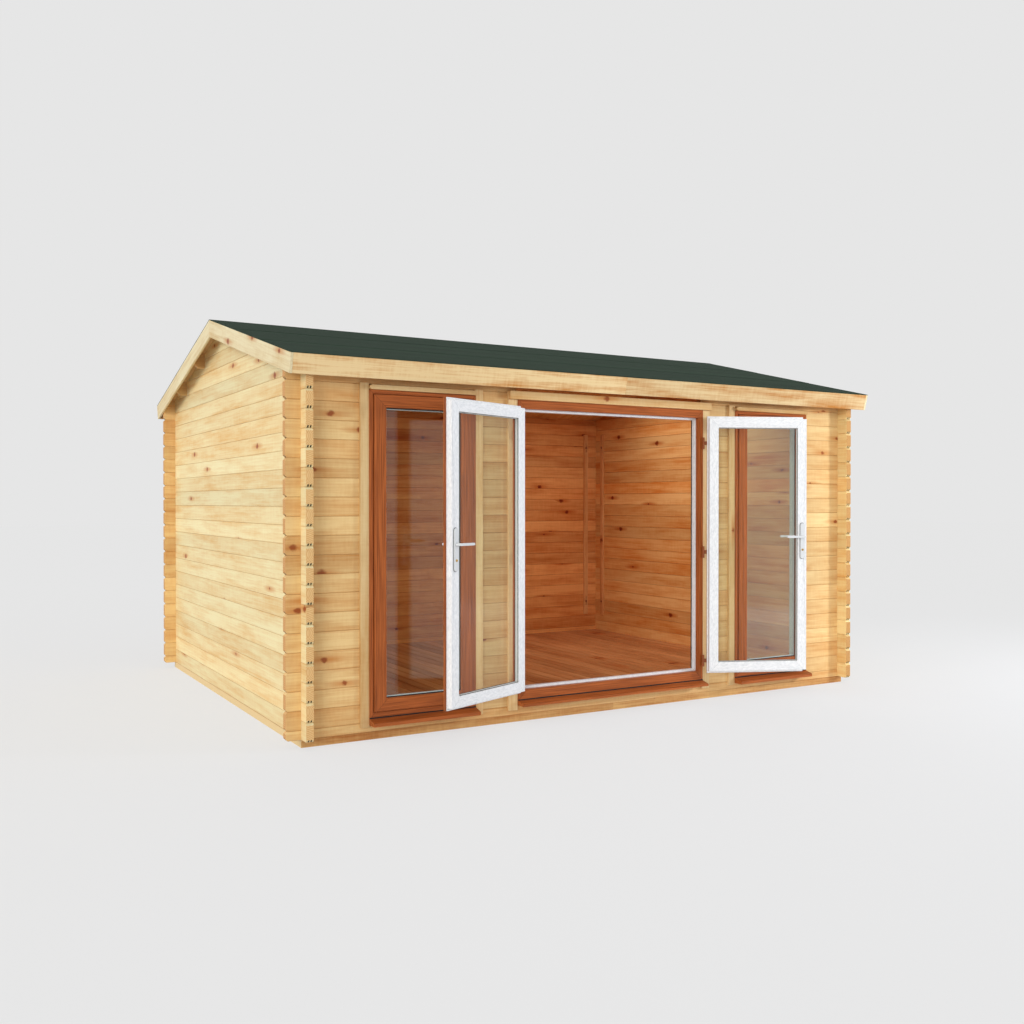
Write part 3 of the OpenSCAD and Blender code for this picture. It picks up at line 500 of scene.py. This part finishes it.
# Golden oak foil, and white foil with mitres that hardly show and raised flecks, 22 mm long and 8 mm wide,
# which is coarser than real so that they show
OAK = ("BC6630", "6A3010")
WHITE = ("F6F6F5", "D4D6D7")
EMBOSSED = {"streak": 0.75, "mitre": 0.8, "cycles": (45.0, 130.0)}


def frame_rect(node):
    """The rectangle (x0, x1, z0, z1) round a construction node, seen from the front."""
    low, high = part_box(node)
    return low.x, high.x, low.z, high.z


def leaf_foil(name, colours, node, joint_name, **look):
    """Foil for a leaf, with its pattern in the leaf's own place."""
    joint = hinge[joint_name]
    turn = math.radians(-joint["range_deg"][0]) * joint["axis"][2]
    low, high = shut_box(node, joint_name)
    pin = joint["pos_m"]
    rect = (low[0] - pin[0], high[0] - pin[0], low[2], high[2])
    return foil(name, *colours, rect=rect, pivot=(pin[0], pin[1], 0), turn=turn, **look)


finish = {
    "bearers": base_pine, "floor_joists": base_pine, "floor": floor_pine,
    "front_wall_bottom_log": front_pine, "front_wall_left": front_pine, "front_wall_mid_left": front_pine,
    "front_wall_mid_right": front_pine, "front_wall_right": front_pine, "front_wall_top": front_pine,
    "back_wall": back_pine, "left_wall": left_pine_painted_light, "right_wall": right_pine_painted_shade,
    "left_gable": left_pine_painted_light, "right_gable": right_pine_painted_shade, "purlins": purlin_pine, "roof_deck": roof_pine,
    "roof_felt": felt, "front_fascia": fascia_pine, "rear_fascia": fascia_pine,
    "left_bargeboards": barge_pine, "right_bargeboards": barge_pine,
    "door_frame_outer": foil("oak_foil_door_frame", *OAK, rect=frame_rect("door_frame_outer")),
    "door_frame_inner": foil("white_foil_door_frame", *WHITE, rect=frame_rect("door_frame_inner"),
                             **EMBOSSED),
    "door_sill": foil("oak_foil_door_sill", *OAK), "window_sills": foil("oak_foil_window_sills", *OAK),
    "door_trim": trim_pine, "window_trim": trim_pine, "storm_battens": trim_pine,
    "frame_hinges": brown_paint, "left_leaf_hinges": brown_paint, "right_leaf_hinges": brown_paint,
    "window_glass": window_glazing, "left_leaf_glass": door_glazing, "right_leaf_glass": door_glazing,
    "left_handle_plates": white_paint, "right_handle_plates": white_paint,
    "left_lever": white_paint, "right_lever": white_paint,
}
for side in ("left", "right"):
    door = side + "_door_hinge"
    window = side + "_window"
    finish[window + "_frame"] = foil("oak_foil_" + window, *OAK, rect=frame_rect(window + "_frame"))
    finish[window + "_inner"] = foil("white_foil_" + window, *WHITE, rect=frame_rect(window + "_inner"),
                                     **EMBOSSED)
    finish[side + "_leaf_outer"] = leaf_foil("oak_foil_%s_leaf" % side, OAK, side + "_leaf_outer", door)
    finish[side + "_leaf_inner"] = leaf_foil("white_foil_%s_leaf" % side, WHITE, side + "_leaf_inner", door,
                                             **EMBOSSED)
for node, material in finish.items():
    nodes[node].data.materials.clear()
    nodes[node].data.materials.append(material)
# Rounded edges of frames and boards
EDGE = 0.0022
for node in ("door_frame_outer", "door_frame_inner", "left_window_frame", "left_window_inner",
             "right_window_frame", "right_window_inner", "left_leaf_outer", "left_leaf_inner",
             "right_leaf_outer", "right_leaf_inner", "front_fascia", "rear_fascia", "left_bargeboards",
             "right_bargeboards", "door_trim", "storm_battens"):
    soften(nodes[node], EDGE)


# Floor boards and roof boards

def grooved(start, end, width, depth):
    """Profile of boards laid side by side: flat faces with a V at each joint, as (place, drop) pairs. A joint
    right beside an end is left out."""
    beside = 0.006
    joints = np.arange(math.floor(start / width) + 1, math.ceil(end / width)) * width
    joints = joints[(joints > start + beside) & (joints < end - beside)]
    place = np.concatenate([[start], np.stack([joints - depth, joints, joints + depth], 1).ravel(), [end]])
    drop = np.concatenate([[0.0], np.tile([0.0, depth, 0.0], len(joints)), [0.0]])
    return place, drop


low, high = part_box("floor")
FLOOR_GROOVE, ROOF_GROOVE = 0.004, 0.003
x, drop = grooved(low.x, high.x, FLOOR_BOARD, FLOOR_GROOVE)
top = np.stack([x, np.zeros_like(x), high.z - drop], 1)
outline = np.concatenate([top[::-1], [[low.x, 0, low.z], [high.x, 0, low.z]]])
boards = piece("floor_boards", *prism(outline, lambda o, e: o + (0, low.y if e == 0 else high.y, 0)),
               floor_pine, "cabin", "floor_boards")
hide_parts("floor")

felt_low, felt_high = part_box("roof_felt")
deck_low, deck_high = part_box("roof_deck")
RIDGE = felt_high.z
x, drop = grooved(deck_low.x, deck_high.x, ROOF_BOARD, ROOF_GROOVE)


def on_slope(x, down, below, side):
    """Points on a roof slope: down the slope from the ridge, below the felt's top; at the ridge the cut is
    upright, so the points there lie under the ridge line."""
    y = np.where(down > 0, down * math.cos(PITCH) - below * math.sin(PITCH), HAIR)
    z = np.where(down > 0, RIDGE - down * math.sin(PITCH) - below * math.cos(PITCH),
                 RIDGE - below / math.cos(PITCH))
    return np.stack(np.broadcast_arrays(x, side * y, z), 1)


# Top and underside of the roof boards, below the top of the felt
TOP, UNDER = 0.0042, 0.0222
deck_len = (deck_high.y - TOP * math.sin(PITCH)) / math.cos(PITCH) - HAIR
across = np.concatenate([x, [deck_high.x, deck_low.x]])
below = np.concatenate([UNDER - drop, [TOP, TOP]])
slopes = [prism(np.arange(len(across)), lambda o, e, side=side: on_slope(
    across, np.full(len(across), 0.0 if (e == 0) == (side > 0) else deck_len), below, side))
          for side in (1, -1)]
boards = piece("roof_boards", *join(slopes), roof_pine, "cabin", "roof_timber")
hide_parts("roof_deck")

# Felt in lapped sheets: each sheet's lower edge stands a little over the next
FELT_T, LAP_STEP = 0.004, 0.0012
slope_len = felt_high.y / math.cos(PITCH)
edges = np.arange(slope_len, 0, -SHEET_LAP)[::-1]
starts = np.concatenate([[0.0], edges[:-1]])
down = np.stack([starts + 0.0003, edges], 1).ravel()
down[0] = 0.0
rise = np.tile([LAP_STEP, 0.0], len(edges))
rise[0] = 0.0
run = np.concatenate([down, [slope_len, 0.0]])
below = np.concatenate([rise, [FELT_T, FELT_T]])
sheets = []
for side in (-1, 1):
    order = slice(None) if side > 0 else slice(None, None, -1)
    sheets.append(prism(np.arange(len(run))[order], lambda o, e, side=side: on_slope(
        felt_low.x if e == 0 else felt_high.x, run[o], below[o], side)))
covering = piece("felt_sheets", *join(sheets), felt, "cabin", "roofing_felt")
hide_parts("roof_felt")


# Glazing: a black gasket on each face of a pane, and a pale spacer bar inside its edge

def glazing_trims(low, high, lips, bar):
    """Gaskets and a spacer bar for a pane between two corners; lips is how far in the outer and the inner
    gasket reach, and bar how far in the spacer bar reaches. The bar stands one sheet of glass in from each
    face."""
    rect = (low[0], high[0], low[2], high[2])
    proud, sheet, edge = 0.003, 0.005, 0.001
    gaskets = [mitred(rect, [(0.0, y), (0.0, y + d * proud), (lip, y + d * proud * 0.4), (lip, y)][::int(-d)])
               for y, d, lip in ((low[1], -1.0, lips[0]), (high[1], 1.0, lips[1]))]
    spacer = mitred(rect, [(edge, low[1] + sheet), (edge, high[1] - sheet), (bar, high[1] - sheet),
                           (bar, low[1] + sheet)][::-1])
    return join(gaskets), spacer


# Gaskets of the outer and the inner face and the spacer bar: how far in they reach
WINDOW_TRIMS = ((0.005, 0.004), 0.0095)
LEAF_TRIMS = ((0.0045, 0.0015), 0.0042)
# How far the gasket shows round a handle plate, and how thick it is
PLATE_LIP, PLATE_GASKET = 0.003, 0.0015
# Lock cylinder: below the lever, radius, and how far it stands out
LOCK_DROP, LOCK_R, LOCK_OUT = 0.092, 0.0085, 0.004
panes = corners("window_glass")
rubbers, bars = zip(*[glazing_trims(p.min(0), p.max(0), *WINDOW_TRIMS)
                      for p in (panes[panes[:, 0] < 0], panes[panes[:, 0] > 0])])
piece("window_gaskets", *join(rubbers), rubber, "cabin", "clear_glass")
piece("window_spacer_bars", *join(bars), spacer_metal, "cabin", "clear_glass")
for side in ("left", "right"):
    door, body = side + "_door_hinge", side + "_door"
    pane = shut_box(side + "_leaf_glass", door)
    gaskets, bar = glazing_trims(*pane, *LEAF_TRIMS)
    piece(side + "_leaf_gaskets", swung(gaskets[0], door), gaskets[1], rubber, body, "clear_glass")
    piece(side + "_leaf_spacer_bars", swung(bar[0], door), bar[1], spacer_metal, body, "clear_glass")
    # Oak bead outside the pane, falling to the glass
    face, back = shut_box(side + "_leaf_outer", door)[0][1] + 0.001, pane[0][1] - 0.0032
    bead = mitred((pane[0][0], pane[1][0], pane[0][2], pane[1][2]),
                  [(0.0, face), (0.001, face), (0.004, back), (0.0, back)])
    piece(side + "_leaf_beads", swung(bead[0], door), bead[1], finish[side + "_leaf_outer"], body, "oak_pvc")
    # Grey gasket under each handle plate, partly a real gasket and partly painted shade round the plate's
    # edge, and a lock cylinder below the lever, at both faces of the leaf
    low, high = shut_box(side + "_handle_plates", door)
    half, turn = (high[0] - low[0]) / 2 + PLATE_LIP, np.linspace(0, 2 * math.pi, 24, endpoint=False)
    middle, reach = (low + high) / 2, (high[2] - low[2]) / 2 + PLATE_LIP - half
    rim = np.stack([middle[0] + half * np.cos(turn), 0 * turn,
                    middle[2] + half * np.sin(turn) + reach * np.sign(np.sin(turn) + 1e-6)], 1)
    points, faces = join([prism(rim, lambda o, e, y0=y0: o + (0, y0 + PLATE_GASKET * (1 - e), 0))
                          for y0 in (low[1] + 0.0085, high[1] - 0.01)])
    piece(side + "_plate_gaskets", swung(points, door), faces, grey_gasket_and_shade, body, "white_handles")
    x, z = middle[0], hinge[side + "_handle_turn"]["pos_m"][2] - LOCK_DROP
    points, faces = join([stud((x, y, z), along, LOCK_R, LOCK_OUT, 20)
                          for y, along in ((low[1] + 0.001, -2), (high[1] - 0.001, 2))])
    piece(side + "_lock_cylinder", swung(points, door), faces, brass, body, "white_handles")


# Black seals: along the foot of each frame over its sill, and up the inner edge of the doorway's sides, where
# the strip is partly a real seal and partly painted shade of the frame's inner edge

# How tall the seals over the sills are, how far they stand out, and how far they reach in
SEAL, SEAL_OUT, SEAL_IN = 0.007, 0.0015, 0.003
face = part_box("door_frame_outer")[0].y
strips = []
for node in ("door_frame_outer", "left_window_frame", "right_window_frame"):
    x0, x1, z0, z1 = frame_rect(node)
    y0, y1 = face - SEAL_OUT, face + SEAL_IN
    outline = np.array([(x0, y1, z0), (x0, y0, z0), (x0, y0, z0 + SEAL), (x0, y1, z0 + SEAL)])
    strips.append(prism(outline, lambda o, e, x0=x0, x1=x1: np.column_stack(
        [np.full(4, x1 if e else x0), o[:, 1:]])))
piece("sill_seals", *join(strips), rubber, "cabin", "oak_pvc")
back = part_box("door_frame_inner")[1]
inner = corners("door_frame_inner")
inner = inner[np.abs(inner[:, 0]) < back.x - 0.03]
strips = []
for x in (inner[:, 0].min(), inner[:, 0].max()):
    x0, x1 = sorted((x, x - math.copysign(0.002, x)))
    y0, y1 = back.y - 0.009, back.y - 0.001
    outline = np.array([(x0, y0, 0), (x1, y0, 0), (x1, y1, 0), (x0, y1, 0)])
    strips.append(prism(outline, lambda o, e: o + (0, 0, inner[:, 2].max() if e else inner[:, 2].min())))
piece("doorway_seals", *join(strips), rubber, "cabin", "white_pvc")

# Bolts in the slots of the storm battens: a washer on the batten, with a round head on it
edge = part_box("floor")[1]
# Battens: their thickness and how far their middle lies from the corner; bolts: their heights, and the radius
# and thickness of a washer and of a head
BATTEN_T, BATTEN_OFF = 0.020, 0.1325
BOLT_ZS = (0.363, 1.955)
WASHER, HEAD = (0.012, 0.002), (0.007, 0.007)
washers, heads = [], []
for z in BOLT_ZS:
    for sx in (-1, 1):
        for sy in (-1, 1):
            for at, along in (((sx * (edge.x - BATTEN_OFF), sy * (edge.y - BATTEN_T), z), -2 * sy),
                              ((sx * (edge.x - BATTEN_T), sy * (edge.y - BATTEN_OFF), z), -1 * sx)):
                washers.append(stud(at, along, *WASHER, 20))
                heads.append(stud(at, along, *HEAD, 12))
piece("batten_bolts", *join(washers + heads), brown_paint, "cabin", "brown_hinges")


# Floor, light and camera

ground_mesh = bpy.data.meshes.new("studio_floor")
ground_mesh.from_pydata([(-60, -60, 0), (60, -60, 0), (60, 60, 0), (-60, 60, 0)], [], [(0, 1, 2, 3)])
ground = bpy.data.objects.new("studio_floor", ground_mesh)
bpy.context.scene.collection.objects.link(ground)
ground_mesh.materials.append(studio_floor("pale_studio_floor"))

world = bpy.data.worlds.new("studio_light")
bpy.context.scene.world = world
world.use_nodes = True
sky = world.node_tree
sky.nodes.clear()
backdrop = add(sky, "Background", {"Color": srgb("E6E6E6"), "Strength": 1.0})[0]
dome = add(sky, "Background", {"Color": (1.0, 1.0, 1.0, 1.0), "Strength": 0.6})[0]
world_out = sky.nodes.new("ShaderNodeOutputWorld")
seen = add(sky, "MixShader", {0: looked_at(sky), 1: dome, 2: backdrop})[0]
sky.links.new(seen, world_out.inputs["Surface"])


def softbox(name, at, aim, size, power, colour=(1.0, 1.0, 1.0)):
    """A large soft light that points at a place."""
    lamp = bpy.data.lights.new(name, "AREA")
    lamp.shape = "RECTANGLE"
    lamp.size, lamp.size_y = size
    lamp.energy = power
    lamp.color = colour
    obj = bpy.data.objects.new(name, lamp)
    bpy.context.scene.collection.objects.link(obj)
    obj.location = at
    away = np.array(at, float) - np.array(aim, float)
    obj.rotation_euler = (math.atan2(math.hypot(away[0], away[1]), away[2]), 0,
                          math.atan2(away[0], -away[1]))
    obj.visible_glossy = False


def far_light(name, toward, height, spread, strength):
    """A far soft light: toward is its bearing from the cabin (x, y), height and spread are in degrees."""
    lamp = bpy.data.lights.new(name, "SUN")
    lamp.angle = math.radians(spread)
    lamp.energy = strength
    obj = bpy.data.objects.new(name, lamp)
    bpy.context.scene.collection.objects.link(obj)
    obj.rotation_euler = (math.radians(90 - height), 0, math.atan2(toward[0], -toward[1]))
    obj.visible_glossy = False


# Soft light on the left side and the front, a cooler one from the right, and a fill inside the room
far_light("left_light", (-1.0, -0.1), 14.0, 30.0, 0.85)
far_light("front_light", (-0.75, -0.66), 11.0, 25.0, 0.9)
softbox("right_light", (6.1, -5.6, 2.3), (1.4, -1.7, 1.1), (0.7, 0.7), 225.0, (0.92, 1.0, 1.16))
softbox("room_light", (1.2, -0.1, 2.3), (1.2, 0.0, 0.0), (1.4, 1.7), 17.0)

# Camera as fitted to the log ends, seams and corners of the photo
camera_data = bpy.data.cameras.new("camera")
camera_data.lens = 36.105
camera_data.sensor_width = 36.0
camera = bpy.data.objects.new("camera", camera_data)
bpy.context.scene.collection.objects.link(camera)
camera.location = (-4.0206, -7.2747, 1.3891)
camera.rotation_euler = (math.radians(89.463), 0.0, math.radians(-29.96))
bpy.context.scene.camera = camera
bpy.context.scene.view_settings.view_transform = "Standard"
